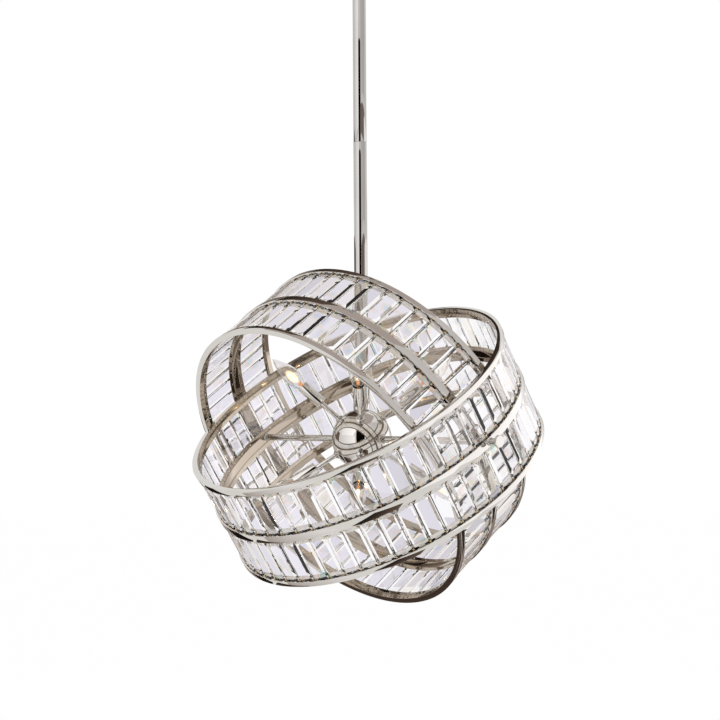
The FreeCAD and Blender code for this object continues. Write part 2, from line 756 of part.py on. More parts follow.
def faceted_bar():
    """One crystal: flat back, long pointed front face, bevelled sides and ends.

    Its back lies on z = 0, its length runs along y and its width along x."""
    length = size("band_half_width - edge_rim_width - middle_rim_width / 2 - 2 * crystal_end_play")
    pitch = 2 * math.tan(math.pi / CRYSTALS_PER_ROW) * size("ring_radius - rim_depth + flange_thickness")
    half = (pitch - size("crystal_gap")) / 2
    end = length / 2
    face = size("crystal_face_width / 2")
    shoulder = end - size("crystal_tip")
    tip = end - size("crystal_tip_setback")
    edge_depth = size("crystal_edge_depth")
    depth = size("crystal_depth")
    back = [(-half, -end, 0), (half, -end, 0), (half, end, 0), (-half, end, 0)]
    girdle = [(x, y, edge_depth) for x, y, z in back]
    table = [(0, -tip, depth), (face, -shoulder, depth), (face, shoulder, depth),
             (0, tip, depth), (-face, shoulder, depth), (-face, -shoulder, depth)]
    corners = [FreeCAD.Vector(*corner) for corner in back + girdle + table]
    loops = [
        (3, 2, 1, 0), (0, 1, 5, 4), (1, 2, 6, 5), (2, 3, 7, 6), (3, 0, 4, 7),
        (8, 9, 10, 11, 12, 13), (5, 6, 10, 9), (7, 4, 13, 12),
        (4, 5, 8), (5, 9, 8), (4, 8, 13), (6, 7, 11), (6, 11, 10), (7, 12, 11),
    ]
    faces = [Part.Face(Part.makePolygon([corners[i] for i in loop + loop[:1]])) for loop in loops]
    bar = Part.Solid(Part.Shell(faces))
    if bar.Volume < 0:
        bar.reverse()
    return bar


def around(solid, radius, axial, angle):
    """A copy of a solid stood on the ring at a radius, an axial place and an angle."""
    turn = math.radians(angle)
    radial = FreeCAD.Vector(math.cos(turn), math.sin(turn), 0)
    tangent = FreeCAD.Vector(-math.sin(turn), math.cos(turn), 0)
    base = radial * radius + Z_AXIS * axial
    matrix = FreeCAD.Matrix(tangent.x, 0, radial.x, base.x,
                            tangent.y, 0, radial.y, base.y,
                            0, 1, 0, base.z)
    copy = solid.copy()
    copy.Placement = FreeCAD.Placement(matrix)
    return copy


def ring_set(name, copies, placement):
    """Separate copies round the ring, kept as one sub-part."""
    item = doc.addObject("Part::Feature", name)
    item.Shape = Part.makeCompound(copies)
    item.Placement = placement
    return keep(item)


def band_ring(name, offset, tilt):
    """One ring: three hoops, two staggered rows of crystals and the struts behind them."""
    place = FreeCAD.Placement(HUB + X_AXIS * offset, FreeCAD.Rotation(X_AXIS, tilt))
    inside = "ring_radius - rim_depth"
    ledge = inside + " + flange_thickness"
    rim = "middle_rim_width / 2"
    flange = "middle_flange_width / 2"
    middle = [
        (inside, "-" + flange), (ledge, "-" + flange), (ledge, "-" + rim), ("ring_radius", "-" + rim),
        ("ring_radius", rim), (ledge, rim), (ledge, flange), (inside, flange),
    ]
    hoop(name + "_middle_hoop", middle, place, True)
    for side, mirror in (("upper", 1), ("lower", -1)):
        sign = "" if mirror > 0 else "-"
        edge = [
            (inside, sign + "(band_half_width - edge_flange_width)"),
            (ledge, sign + "(band_half_width - edge_flange_width)"),
            (ledge, sign + "(band_half_width - edge_rim_width)"),
            ("ring_radius", sign + "(band_half_width - edge_rim_width)"),
            ("ring_radius", sign + "band_half_width"),
            (inside, sign + "band_half_width"),
        ]
        hoop("%s_%s_edge_hoop" % (name, side), edge, place, False)
    pitch = 360.0 / CRYSTALS_PER_ROW
    bar = faceted_bar()
    row_centre = size("band_half_width - edge_rim_width + middle_rim_width / 2") / 2
    back = size(ledge + " + crystal_seat")
    for side, mirror, stagger in (("upper", 1, pitch / 2), ("lower", -1, 0.0)):
        copies = [around(bar, back, mirror * row_centre, stagger + pitch * step)
                  for step in range(CRYSTALS_PER_ROW)]
        ring_set("%s_%s_crystals" % (name, side), copies, place)
    ring_set(name + "_struts", ring_struts(pitch), place)


def ring_struts(pitch):
    """Flat struts between the hoops' flanges, each behind a joint between two crystals."""
    width = size("strut_width")
    span_start = size("middle_flange_width / 2")
    span = size("band_half_width - edge_flange_width") - span_start
    strut = Part.makeBox(width, span, size("flange_thickness"), FreeCAD.Vector(-width / 2, -span / 2, 0))
    inside = size("ring_radius - rim_depth")
    copies = []
    for mirror, joint in ((1, 0.0), (-1, pitch / 2)):
        for step in range(STRUTS_PER_ROW):
            angle = joint + pitch * (FIRST_STRUT + round(step * CRYSTALS_PER_ROW / STRUTS_PER_ROW))
            copies.append(around(strut, inside, mirror * (span_start + span / 2), angle))
    return copies


# ---------------------------------------------------------------- the chandelier

ceiling_fixing()
swivel()
knuckle_lug()
stem()
hub()
bar_and_pivots()
candle_arms()
band_ring("ring_a", size("ring_offset"), size("ring_a_tilt"))
band_ring("ring_b", -size("ring_offset"), size("ring_b_tilt"))
doc.recompute()

for item in doc.Objects:
    if "Invalid" in item.State or "Error" in item.State:
        raise ValueError(item.Name + " did not recompute")
for item in sub_parts:
    if item.Shape.isNull() or not item.Shape.isValid():
        raise ValueError(item.Label + " has no valid shape")

os.makedirs("parts", exist_ok=True)
for item in sub_parts:
    item.Shape.exportStep("parts/%s.step" % item.Label)
print(len(sub_parts), "sub-parts, hub centre at", hub_height)
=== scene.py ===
import math
import random

import bmesh
import bpy
from mathutils import Matrix, Vector


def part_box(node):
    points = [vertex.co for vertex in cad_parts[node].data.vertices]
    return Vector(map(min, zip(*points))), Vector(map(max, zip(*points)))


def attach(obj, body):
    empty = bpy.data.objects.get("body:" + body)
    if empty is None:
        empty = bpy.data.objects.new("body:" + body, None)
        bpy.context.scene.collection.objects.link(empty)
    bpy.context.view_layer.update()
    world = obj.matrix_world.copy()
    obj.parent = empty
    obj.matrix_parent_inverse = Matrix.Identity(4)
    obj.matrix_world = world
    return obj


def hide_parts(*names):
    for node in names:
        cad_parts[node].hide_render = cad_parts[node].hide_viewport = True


# Orb chandelier: linked crystal rings on a bar through a polished hub, lit candle lamps inside.
# The pieces' sizes are in mm, and the placing matrices turn them into metres.

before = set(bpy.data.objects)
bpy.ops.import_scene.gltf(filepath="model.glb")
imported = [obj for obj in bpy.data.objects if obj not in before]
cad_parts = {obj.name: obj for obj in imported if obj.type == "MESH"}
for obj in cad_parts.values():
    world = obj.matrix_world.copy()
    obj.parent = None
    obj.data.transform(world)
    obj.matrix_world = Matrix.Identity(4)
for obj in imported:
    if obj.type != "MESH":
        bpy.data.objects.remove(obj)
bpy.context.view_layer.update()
print("frame loaded")

mm = 0.001
alongX = Vector((1.0, 0.0, 0.0))
alongZ = Vector((0.0, 0.0, 1.0))

# the cross rod runs through the hub, whose centre is half way along it, to a tenth of a mm
rodLow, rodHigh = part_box("cross_rod")
hubCentre = Vector([round((low + high) / 2, 4) for low, high in zip(rodLow, rodHigh)])


def hubPlace(direction=alongZ, distance=0.0):
    # a piece's own Z axis runs out from the hub's centre along the direction
    turn = alongZ.rotation_difference(direction).to_matrix().to_4x4()
    return Matrix.Translation(hubCentre + direction * distance * mm) @ turn @ Matrix.Scale(mm, 4)


def ceilingPlace(height=0.0):
    return Matrix.Translation((0.0, 0.0, height * mm)) @ Matrix.Scale(mm, 4)


# the camera at the photograph's viewpoint, its distances in metres and its angles in degrees
photoView = {
    "azimuth": 48.55,
    "standOff": 2.7814,
    "sideStep": -0.0265,
    "rise": 0.0625,
    "yaw": -0.494,
    "pitch": 1.813,
    "roll": -0.330,
    "lens": 72.87,  # mm, as the sensor
    "sensor": 36.0,
    "clipEnd": 50.0,
}


def makeCamera():
    facing = Matrix.Rotation(math.radians(photoView["azimuth"]), 4, "Z")
    stand = facing @ Vector((photoView["sideStep"], -photoView["standOff"], photoView["rise"]))
    turn = (facing
            @ Matrix.Rotation(math.radians(photoView["yaw"]), 4, "Z")
            @ Matrix.Rotation(math.radians(photoView["pitch"]), 4, "X")
            @ Matrix.Rotation(math.radians(-photoView["roll"]), 4, "Y")
            @ Matrix.Rotation(math.radians(90), 4, "X"))
    data = bpy.data.cameras.new("photoCamera")
    data.lens = photoView["lens"]
    data.sensor_width = photoView["sensor"]
    data.clip_end = photoView["clipEnd"]
    camera = bpy.data.objects.new("photoCamera", data)
    bpy.context.scene.collection.objects.link(camera)
    camera.matrix_world = Matrix.Translation(hubCentre + stand) @ turn
    bpy.context.scene.camera = camera


makeCamera()
print("camera set")

noiseSpan = (0.3, 0.7)  # nearly all of a noise's values lie in it


def newMaterial(name):
    material = bpy.data.materials.new(name)
    material.use_nodes = True
    nodes = material.node_tree.nodes
    return material, nodes, material.node_tree.links, nodes["Principled BSDF"]


def objectNoise(nodes, links, scale, detail=3.0):
    # noise over the piece's own coordinates
    place = nodes.new("ShaderNodeTexCoord")
    noise = nodes.new("ShaderNodeTexNoise")
    noise.inputs["Scale"].default_value = scale
    noise.inputs["Detail"].default_value = detail
    links.new(place.outputs["Object"], noise.inputs["Vector"])
    return noise.outputs["Fac"]


def mathOf(nodes, links, operation, first, second, third=0.0):
    step = nodes.new("ShaderNodeMath")
    step.operation = operation
    for socket, value in zip(step.inputs, (first, second, third)):
        if isinstance(value, (int, float)):
            socket.default_value = value
        else:
            links.new(value, socket)
    return step.outputs[0]


def rangeOf(nodes, links, source, low, high):
    spread = nodes.new("ShaderNodeMapRange")
    spread.inputs["From Min"].default_value = noiseSpan[0]
    spread.inputs["From Max"].default_value = noiseSpan[1]
    spread.inputs["To Min"].default_value = low
    spread.inputs["To Max"].default_value = high
    links.new(source, spread.inputs["Value"])
    return spread.outputs["Result"]


def rampOf(nodes, links, source, stops):
    # colours along a value, as (position, colour) stops
    ramp = nodes.new("ShaderNodeValToRGB")
    elements = ramp.color_ramp.elements
    while len(elements) < len(stops):
        elements.new(1.0)
    for element, (position, colour) in zip(elements, stops):
        element.position = position
        element.color = (*colour, 1)
    links.new(source, ramp.inputs["Fac"])
    return ramp.outputs["Color"]


def blendOf(nodes, links, source, first, second):
    return rampOf(nodes, links, source, ((noiseSpan[0], first), (noiseSpan[1], second)))


def addBump(nodes, links, shader, source, depth, strength=0.25):
    bump = nodes.new("ShaderNodeBump")
    bump.inputs["Strength"].default_value = strength
    bump.inputs["Distance"].default_value = depth
    links.new(source, bump.inputs["Height"])
    links.new(bump.outputs["Normal"], shader.inputs["Normal"])


def metal(name, bright, dull, smooth, rough, grain=60, relief=0.00002, patches=9):
    # wide patches of two tones, and fine grain in the polish
    material, nodes, links, shader = newMaterial(name)
    shader.inputs["Metallic"].default_value = 1.0
    cloud = objectNoise(nodes, links, patches)
    fine = objectNoise(nodes, links, grain, 5)
    links.new(blendOf(nodes, links, cloud, bright, dull), shader.inputs["Base Color"])
    links.new(rangeOf(nodes, links, fine, smooth, rough), shader.inputs["Roughness"])
    addBump(nodes, links, shader, fine, relief)
    return material


def plastic(name, colour, shade, smooth, rough, grain=400, relief=0.00005):
    material, nodes, links, shader = newMaterial(name)
    fine = objectNoise(nodes, links, grain)
    links.new(blendOf(nodes, links, fine, colour, shade), shader.inputs["Base Color"])
    links.new(rangeOf(nodes, links, fine, smooth, rough), shader.inputs["Roughness"])
    addBump(nodes, links, shader, fine, relief)
    return material


def glass(name, clear, tinted, indexOfRefraction, smooth, rough, grain=30):
    material, nodes, links, shader = newMaterial(name)
    shader.inputs["IOR"].default_value = indexOfRefraction
    shader.inputs["Transmission Weight"].default_value = 1.0
    cloud = objectNoise(nodes, links, grain)
    links.new(blendOf(nodes, links, cloud, clear, tinted), shader.inputs["Base Color"])
    links.new(rangeOf(nodes, links, cloud, smooth, rough), shader.inputs["Roughness"])
    return material


crystalFinish = {
    "indexOfRefraction": 1.54,
    "smooth": 0.0,
    "rough": 0.01,
    "grain": 26,
    "paintedFireGrain": 28,
    # tints by the facet's shade, from clear bevels through cool and grey tables to cream ones; the clear
    # bevels are a painted highlight, the grey tables painted shade
    "body": (
        (0.0, (1.0, 1.0, 1.0)),
        (0.25, (0.995, 0.99, 1.0)),
        (0.45, (0.965, 0.955, 0.985)),
        (0.78, (0.94, 0.93, 0.965)),
        # painted shade: the tables in this band turn grey
        (0.88, (0.70, 0.69, 0.74)),
        (0.92, (0.98, 0.95, 0.88)),
        (1.0, (0.97, 0.93, 0.86)),
    ),
    # painted fire: rainbow glints painted into the glass colour at a noise's rare high values
    "paintedFire": (
        (0.62, (1.0, 1.0, 1.0)),
        (0.645, (1.0, 0.84, 0.80)),
        (0.67, (0.99, 0.98, 0.74)),
        (0.695, (0.74, 0.96, 0.95)),
        (0.73, (0.84, 0.82, 1.0)),
    ),
}


def cutCrystal(name):
    # clear glass, each crystal tinted a little differently, a few grey as painted shade, with rare rainbow
    # glints painted into its colour
    material, nodes, links, shader = newMaterial(name)
    shader.inputs["IOR"].default_value = crystalFinish["indexOfRefraction"]
    shader.inputs["Transmission Weight"].default_value = 1.0
    shade = nodes.new("ShaderNodeAttribute")
    shade.attribute_name = "shade"
    paintedFireNoise = objectNoise(nodes, links, crystalFinish["paintedFireGrain"], 1)
    both = nodes.new("ShaderNodeMixRGB")
    both.blend_type = "MULTIPLY"
    both.inputs["Fac"].default_value = 1.0
    links.new(rampOf(nodes, links, shade.outputs["Fac"], crystalFinish["body"]), both.inputs["Color1"])
    links.new(rampOf(nodes, links, paintedFireNoise, crystalFinish["paintedFire"]), both.inputs["Color2"])
    links.new(both.outputs["Color"], shader.inputs["Base Color"])
    cloud = objectNoise(nodes, links, crystalFinish["grain"])
    polish = rangeOf(nodes, links, cloud, crystalFinish["smooth"], crystalFinish["rough"])
    links.new(polish, shader.inputs["Roughness"])
    return material


def glow(name, colour, strength, dimmest=0.8, grain=900):
    material, nodes, links, shader = newMaterial(name)
    shader.inputs["Base Color"].default_value = (*colour, 1)
    shader.inputs["Emission Color"].default_value = (*colour, 1)
    cloud = objectNoise(nodes, links, grain)
    power = rangeOf(nodes, links, cloud, strength * dimmest, strength)
    links.new(power, shader.inputs["Emission Strength"])
    return material


def halo(name, colour, strength, falloff):
    # a painted glow: an emitting shell that thins out towards its edge from any side
    material, nodes, links, shader = newMaterial(name)
    weight = nodes.new("ShaderNodeLayerWeight")
    inward = mathOf(nodes, links, "SUBTRACT", 1.0, weight.outputs["Facing"])
    shader.inputs["Base Color"].default_value = (0, 0, 0, 1)
    shader.inputs["Specular IOR Level"].default_value = 0.0
    shader.inputs["Emission Color"].default_value = (*colour, 1)
    shader.inputs["Emission Strength"].default_value = strength
    links.new(mathOf(nodes, links, "POWER", inward, falloff), shader.inputs["Alpha"])
    return material


finishes = {
    "nickel": metal("polishedNickel", (0.66, 0.64, 0.605), (0.62, 0.595, 0.555), 0.02, 0.05),
    # the stem's nickel darkened as painted shade, its plating the same as the rest
    "stemNickelPaintedShade": metal("stemNickelPaintedShade", (0.50, 0.485, 0.46), (0.46, 0.445, 0.42), 0.02, 0.05),
    # painted shade and painted warm reflection for the hoops' inner faces, on the same plating as the rim
    "hoopInsidePaintedShade": metal("hoopInsidePaintedShade", (0.43, 0.37, 0.30), (0.38, 0.32, 0.255), 0.04, 0.1),
    "nickelInside": metal("nickelInside", (0.66, 0.60, 0.52), (0.58, 0.52, 0.44), 0.10, 0.2),
    "zinc": metal("zincPlate", (0.62, 0.62, 0.62), (0.5, 0.5, 0.51), 0.25, 0.4, 250, 0.00005),
    "brass": metal("plainBrass", (0.78, 0.60, 0.32), (0.68, 0.5, 0.25), 0.15, 0.3, 200, 0.00003),
    "bronze": metal("giltBronze", (0.80, 0.58, 0.28), (0.42, 0.27, 0.12), 0.15, 0.3, 120),
    "crystal": cutCrystal("cutCrystal"),
    "bulbGlass": glass("bulbGlass", (0.99, 0.985, 0.97), (0.98, 0.97, 0.95), 1.46, 0.0, 0.01),
    "filament": glow("filament", (1.0, 0.80, 0.50), 30.0),
    # painted glows, no part of the lamp: a halo round each filament and an orange glow at each sleeve's
    # mouth
    "lampGlow": halo("lampGlow", (1.0, 0.80, 0.50), 1.5, 4.2),
    "paintedMouthGlow": halo("paintedMouthGlow", (1.0, 0.36, 0.08), 0.9, 2.6),
    "blackPhenolic": plastic("blackPhenolic", (0.018, 0.016, 0.015), (0.03, 0.028, 0.026), 0.3, 0.5),
    "nylon": plastic("nylon", (0.83, 0.82, 0.78), (0.76, 0.75, 0.7), 0.35, 0.5),
    "groundGreen": plastic("groundGreen", (0.03, 0.22, 0.07), (0.02, 0.16, 0.05), 0.25, 0.4),
}
print("materials made")

weldDistance = 0.002  # mm, as a mesh is while it is shaped
levelWithin = 0.001


def turnOutwards(mesh):
    # done while the mesh is still in mm, where it holds for small pieces
    bmesh.ops.recalc_face_normals(mesh, faces=mesh.faces)
    if mesh.calc_volume(signed=True) < 0:
        bmesh.ops.reverse_faces(mesh, faces=mesh.faces)


def finishPiece(name, mesh, finish, body, replaced=(), sharpAngle=35):
    data = bpy.data.meshes.new(name)
    mesh.to_mesh(data)
    mesh.free()
    for face in data.polygons:
        face.use_smooth = True
    data.set_sharp_from_angle(angle=math.radians(sharpAngle))
    data.materials.append(finishes[finish])
    piece = bpy.data.objects.new(name, data)
    bpy.context.scene.collection.objects.link(piece)
    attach(piece, body)
    if replaced:
        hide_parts(*replaced)
    return piece


def spin(mesh, outline, steps, closed=True, rounding=0.0, segments=3, sharp=25):
    # outline of (radius, height) corners turned about Z, its sharp corners rounded
    corners = [mesh.verts.new((radius, 0.0, height)) for radius, height in outline]
    edges = [mesh.edges.new(pair) for pair in zip(corners, corners[1:])]
    if closed:
        edges.append(mesh.edges.new((corners[-1], corners[0])))
    bmesh.ops.spin(mesh, geom=corners + edges, cent=(0, 0, 0), axis=(0, 0, 1), dvec=(0, 0, 0),
                   angle=math.tau, steps=steps, use_merge=True, use_duplicate=False)
    bmesh.ops.remove_doubles(mesh, verts=mesh.verts[:], dist=weldDistance)
    turnOutwards(mesh)
    if rounding:
        rims = [edge for edge in mesh.edges if len(edge.link_faces) == 2
                and edge.calc_face_angle(0) > math.radians(sharp)
                and abs(edge.verts[0].co.z - edge.verts[1].co.z) < levelWithin]
        bmesh.ops.bevel(mesh, geom=rims, offset=rounding, offset_type="OFFSET", segments=segments,
                        profile=0.5, affect="EDGES", clamp_overlap=True, material=-1)


def turnedMesh(outline, place, steps=48, closed=True, rounding=0.2):
    mesh = bmesh.new()
    spin(mesh, outline, steps, closed, rounding)
    mesh.transform(place)
    return mesh


def turnedPiece(name, outline, place, finish, body, replaced, steps=96, closed=True,
                rounding=0.3):
    mesh = turnedMesh(outline, place, steps, closed, rounding)
    return finishPiece(name, mesh, finish, body, replaced)


def tube(inner, outer, low, high):
    return [(inner, low), (outer, low), (outer, high), (inner, high)]


def joinMeshes(copies):
    # one mesh out of several, each consumed
    whole = bmesh.new()
    for part in copies:
        data = bpy.data.meshes.new("joining")
        part.to_mesh(data)
        part.free()
        whole.from_mesh(data)
        bpy.data.meshes.remove(data)
    return whole


# the stem's heights are counted from the hub's centre
stemSizes = {
    "radius": 12.7,
    "bore": 11.2,
    "top": 873.0,
    "joint": 568.0,
    "foot": 60.0,
    "jointChamfer": 0.5,
    "play": 0.05,
    "collarRadius": 15.5,
    "collarTop": 76.0,
    "collarFoot": 55.2,
    "collarSeat": 56.6,
    "collarHole": 8.05,
    "collarRounding": 0.8,
}


def makeStem():
    radius, foot, joint = stemSizes["radius"], stemSizes["foot"], stemSizes["joint"]
    # the tubes take the nickel darkened as painted shade
    for name, low, high in (("stem_lower", foot, joint), ("stem_upper", joint, stemSizes["top"])):
        turnedPiece(name + "_tube", tube(stemSizes["bore"], radius, low, high), hubPlace(), "stemNickelPaintedShade",
                    "stem", (name,), rounding=stemSizes["jointChamfer"])
    outer, top, hole = stemSizes["collarRadius"], stemSizes["collarTop"], stemSizes["collarHole"]
    socket = radius + stemSizes["play"]
    collar = [(hole, stemSizes["collarSeat"]), (outer, stemSizes["collarFoot"]), (outer, top),
              (socket, top), (socket, foot), (hole, foot)]
    turnedPiece("stem_foot_collar", collar, hubPlace(), "nickel", "stem", ("stem_collar",),
                rounding=stemSizes["collarRounding"])


canopySizes = {
    "radius": 70.0,
    "depth": 26.0,
    "corner": 9.0,
    "cornerSteps": 8,
    "wall": 1.2,
    "hole": 5.25,
    "steps": 128,
    "nutRadius": 17.0,
    "nutHeight": 8.0,
    "nutHole": 5.05,
    "nutRounding": 1.2,
    "nutSteps": 72,
}


def makeCanopy():
    radius, depth, wall = canopySizes["radius"], canopySizes["depth"], canopySizes["wall"]
    corner, steps, hole = canopySizes["corner"], canopySizes["cornerSteps"], canopySizes["hole"]
    outer = [(hole, -depth)]
    inner = []
    for step in range(steps + 1):
        turn = math.radians(90 - 90 / steps * step)
        reach, drop = math.cos(turn), math.sin(turn)
        outer.append((radius - corner + corner * reach, -depth + corner - corner * drop))
        inner.append((radius - corner + (corner - wall) * reach, -depth + corner - (corner - wall) * drop))
    outer.append((radius, 0.0))
    inner.append((radius - wall, 0.0))
    inner.reverse()
    inner.append((hole, -depth + wall))
    turnedPiece("canopy_shell", outer + inner, ceilingPlace(), "nickel", "ceiling",
                ("canopy_dome",), canopySizes["steps"], rounding=0.0)
    nut = tube(canopySizes["nutHole"], canopySizes["nutRadius"], -canopySizes["nutHeight"], 0)
    turnedPiece("canopy_lock_ring", nut, ceilingPlace(-depth), "nickel", "ceiling",
                ("canopy_ring_nut",), canopySizes["nutSteps"], rounding=canopySizes["nutRounding"])


makeStem()
makeCanopy()
print("stem and canopy made")

hubSizes = {
    "radius": 57.0,
    "wall": 1.6,
    "poleHole": 8.25,
    "arcSteps": 24,
    "steps": 128,
    # the cap nut's shank and head, as radii and distances down from the hub's centre
    "capShank": [(0, 14.3), (5, 14.3), (5, 57.1)],
    "capHead": [(9, 57.1), (9, 60), (8.4, 65), (6.4, 68.4), (3.4, 69.9), (0, 70)],
    "capSteps": 64,
}


def halfBall():
    # the shell from its open rim to the hole at its pole
    radius, wall = hubSizes["radius"], hubSizes["wall"]
    outer, inner = [], []
    top = math.acos(hubSizes["poleHole"] / radius)
    for step in range(hubSizes["arcSteps"] + 1):
        turn = top * step / hubSizes["arcSteps"]
        outer.append((radius * math.cos(turn), radius * math.sin(turn)))
        inner.append(((radius - wall) * math.cos(turn), (radius - wall) * math.sin(turn)))
    inner.reverse()
    return outer + inner


def makeHub():
    for side, direction in (("upper", alongZ), ("lower", -alongZ)):
        turnedPiece("hub_%s_ball" % side, halfBall(), hubPlace(direction), "nickel", "stem",
                    ("hub_%s_shell" % side,), hubSizes["steps"], rounding=0.0)
    turnedPiece("hub_cap_nut", hubSizes["capShank"] + hubSizes["capHead"], hubPlace(-alongZ), "nickel",
                "stem", ("hub_finial",), hubSizes["capSteps"], closed=False, rounding=0.0)


makeHub()
print("hub made")

# distances along the bar are counted from the hub's centre
barSizes = {
    "radius": 6.35,
    "bore": 4.85,
    "steps": 72,
    "rounding": 0.2,
    "rodHole": 4.05,
    "start": 24.05,
    "nearInside": 290.396,  # the middle hoops' faces along the bar
    "nearOutside": 301.5,
    "farInside": 322.396,
    "farOutside": 333.5,
    "play": 0.1,
    "washer": 1.0,
    "washerRadius": 8.0,
    "washerRounding": 0.15,
    "spacerRounding": 0.5,
    "collarHole": 6.4,
    "collarRadius": 9.5,
    "collarSeat": 56.7,
    "collarFoot": 56.3,
    "collarEdge": 58.8,
    "collarTop": 60.5,
    "collarTopRadius": 8.0,
    "collarRounding": 0.5,
    "collarSteps": 64,
    "knobLength": 22.0,
    "knobWaist": 5.9,
    "knobTaper": 3.0,
    "knobNeck": 5.0,
    "knobFlare": (0.9, 0.8),  # out from the neck, and before the disc
    "knobDisc": 11.3,
    "knobDiscThickness": 5.0,
    "knobEdge": (0.8, 1.0),  # in from the disc's rim, and along it
    "knobCrown": ((0.0, 1.2), (1.2, 0.2), (3.0, 0.0)),  # in from the rim, and short of the end
}


def knobOutline():
    length, disc, neck = barSizes["knobLength"], barSizes["knobDisc"], barSizes["knobNeck"]
    discStart = length - barSizes["knobDiscThickness"]
    taper, flare, edge = barSizes["knobTaper"], barSizes["knobFlare"], barSizes["knobEdge"]
    outline = [(barSizes["rodHole"], 0), (barSizes["radius"], 0), (barSizes["knobWaist"], taper),
               (neck, discStart - taper), (neck + flare[0], discStart - flare[1]),
               (disc - edge[0], discStart), (disc, discStart + edge[1])]
    outline += [(disc - inward, length - short) for inward, short in barSizes["knobCrown"]]
    return outline + [(0, length)]


def makeBar():
    play, washer = barSizes["play"], barSizes["washer"]
    radius, hole = barSizes["radius"], barSizes["rodHole"]
    tubeEnd = barSizes["nearInside"] - play - washer
    spacerStart, spacerEnd = barSizes["nearOutside"] + play + washer, barSizes["farInside"] - play - washer
    knobStart = barSizes["farOutside"] + play + washer
    washerStarts = (tubeEnd, spacerStart - washer, spacerEnd, knobStart - washer)
    collar = [(barSizes["collarHole"], barSizes["collarSeat"]),
              (barSizes["collarRadius"], barSizes["collarFoot"]),
              (barSizes["collarRadius"], barSizes["collarEdge"]),
              (barSizes["collarTopRadius"], barSizes["collarTop"]),
              (barSizes["collarHole"], barSizes["collarTop"])]
    washers, spacers, collars = [], [], []
    for side, direction in (("left", -alongX), ("right", alongX)):
        place = hubPlace(direction)
        turnedPiece("bar_sleeve_" + side, tube(barSizes["bore"], radius, barSizes["start"], tubeEnd),
                    place, "nickel", "stem", ("bar_tube_" + side,), barSizes["steps"],
                    rounding=barSizes["rounding"])
        for start in washerStarts:
            outline = tube(hole, barSizes["washerRadius"], start, start + washer)
            washers.append(turnedMesh(outline, place, rounding=barSizes["washerRounding"]))
        spacers.append(turnedMesh(tube(hole, radius, spacerStart, spacerEnd), place,
                                  barSizes["collarSteps"], rounding=barSizes["spacerRounding"]))
        collars.append(turnedMesh(collar, place, barSizes["collarSteps"],
                                  rounding=barSizes["collarRounding"]))
        turnedPiece("end_knob_" + side, knobOutline(), hubPlace(direction, knobStart), "nickel", "stem",
                    ("cap_knob_" + side,), barSizes["steps"], closed=False)
    finishPiece("washer_set", joinMeshes(washers), "nylon", "stem", ("pivot_washers",))
    finishPiece("spacer_set", joinMeshes(spacers), "nickel", "stem", ("hoop_spacers",))
    finishPiece("bar_collar_set", joinMeshes(collars), "nickel", "stem", ("bar_collars",))


makeBar()
print("bar made")

# an arm's distances are counted from the hub's centre
armSizes = {
    "rise": 42.0,
    "fall": 32.0,
    "azimuths": (45, 135, 225, 315),
    "radius": 4.5,
    "bore": 3.5,
    "root": 14.05,
    "end": 111.0,
    "play": 0.05,
    "collarSeat": 56.8,
    "collarTop": 61.0,
    "collar": [(8.5, 56.6), (8.5, 57.6), (7.0, 58.6), (5.9, 59.8), (5.5, 61.0)],
    "sleeveStart": 103.0,
    "sleeveFloor": 2.0,
    "mouth": 152.0,
    "sleeveRadius": 11.5,
    "sleeveBore": 10.7,
    "sleeveRounding": 0.35,
    "sleeveSteps": 72,
    "socketRadius": 10.0,
    "socketHole": 6.05,
    "socketDepth": 20.2,
    "socketRounding": 0.4,
    "capTop": 138.0,
    "capDepth": 20.0,
    "capTaper": 3.0,
    "capRadius": 6.0,
    "capRounding": 0.3,
}

# a bulb's heights are counted from the sleeve's mouth
bulbSizes = {
    "radius": 16.0,
    "length": 77.0,
    "widest": 27.0,
    "neck": 6.3,
    "foot": -14.0,
    "wall": 0.8,
    "tipPower": 0.82,
    "rows": 22,
    "steps": 64,
}

filamentSizes = {
    "leadRadius": 0.35,
    "leadLength": 34.0,
    "leadApart": 3.2,
    "leadMiddle": 3.0,
    "coilTurns": 7,
    "turnSteps": 12,
    "coilRadius": 1.5,
    "coilStart": 16.0,
    "coilLength": 18.0,
    "wireRadius": 0.42,
}

# painted glow shells round the filament and just above the sleeve's mouth
glowSizes = {
    "lampGlow": {"radius": 10.0, "reach": 17.0, "height": 27.0},
    "paintedMouthGlow": {"radius": 4.6, "reach": 6.0, "height": 5.0},
}


def armDirections():
    for angle in (armSizes["rise"], -armSizes["fall"]):
        for azimuth in armSizes["azimuths"]:
            level = math.cos(math.radians(angle))
            turn = math.radians(azimuth)
            yield Vector((level * math.cos(turn), level * math.sin(turn), math.sin(math.radians(angle))))


def bulbOutline(wall):
    # neck swelling to the widest ring, then a flame-shaped taper to the tip
    radius, neck = bulbSizes["radius"] - wall, bulbSizes["neck"] - wall
    foot, widest, tip = bulbSizes["foot"], bulbSizes["widest"], bulbSizes["length"] - wall
    outline = []
    for step in range(bulbSizes["rows"] + 1):
        share = step / bulbSizes["rows"]
        height = foot + (tip - foot) * (0.5 - 0.5 * math.cos(math.pi * share))
        if height < widest:
            swell = 0.5 - 0.5 * math.cos(math.pi * (height - foot) / (widest - foot))
            outline.append((neck + (radius - neck) * swell, height))
        else:
            taper = math.cos(math.pi / 2 * min(1.0, (height - widest) / (tip - widest)))
            outline.append((radius * max(taper, 0.0) ** bulbSizes["tipPower"], height))
    outline[-1] = (0.0, tip)
    return outline


def leadWires(place):
    radius, length = filamentSizes["leadRadius"], filamentSizes["leadLength"]
    mesh = bmesh.new()
    for side in (-1, 1):
        wire = bmesh.ops.create_cone(mesh, segments=8, radius1=radius, radius2=radius, depth=length,
                                     cap_ends=True)
        middle = (side * filamentSizes["leadApart"], 0, filamentSizes["leadMiddle"])
        bmesh.ops.translate(mesh, verts=wire["verts"], vec=middle)
    mesh.transform(place)
    return mesh


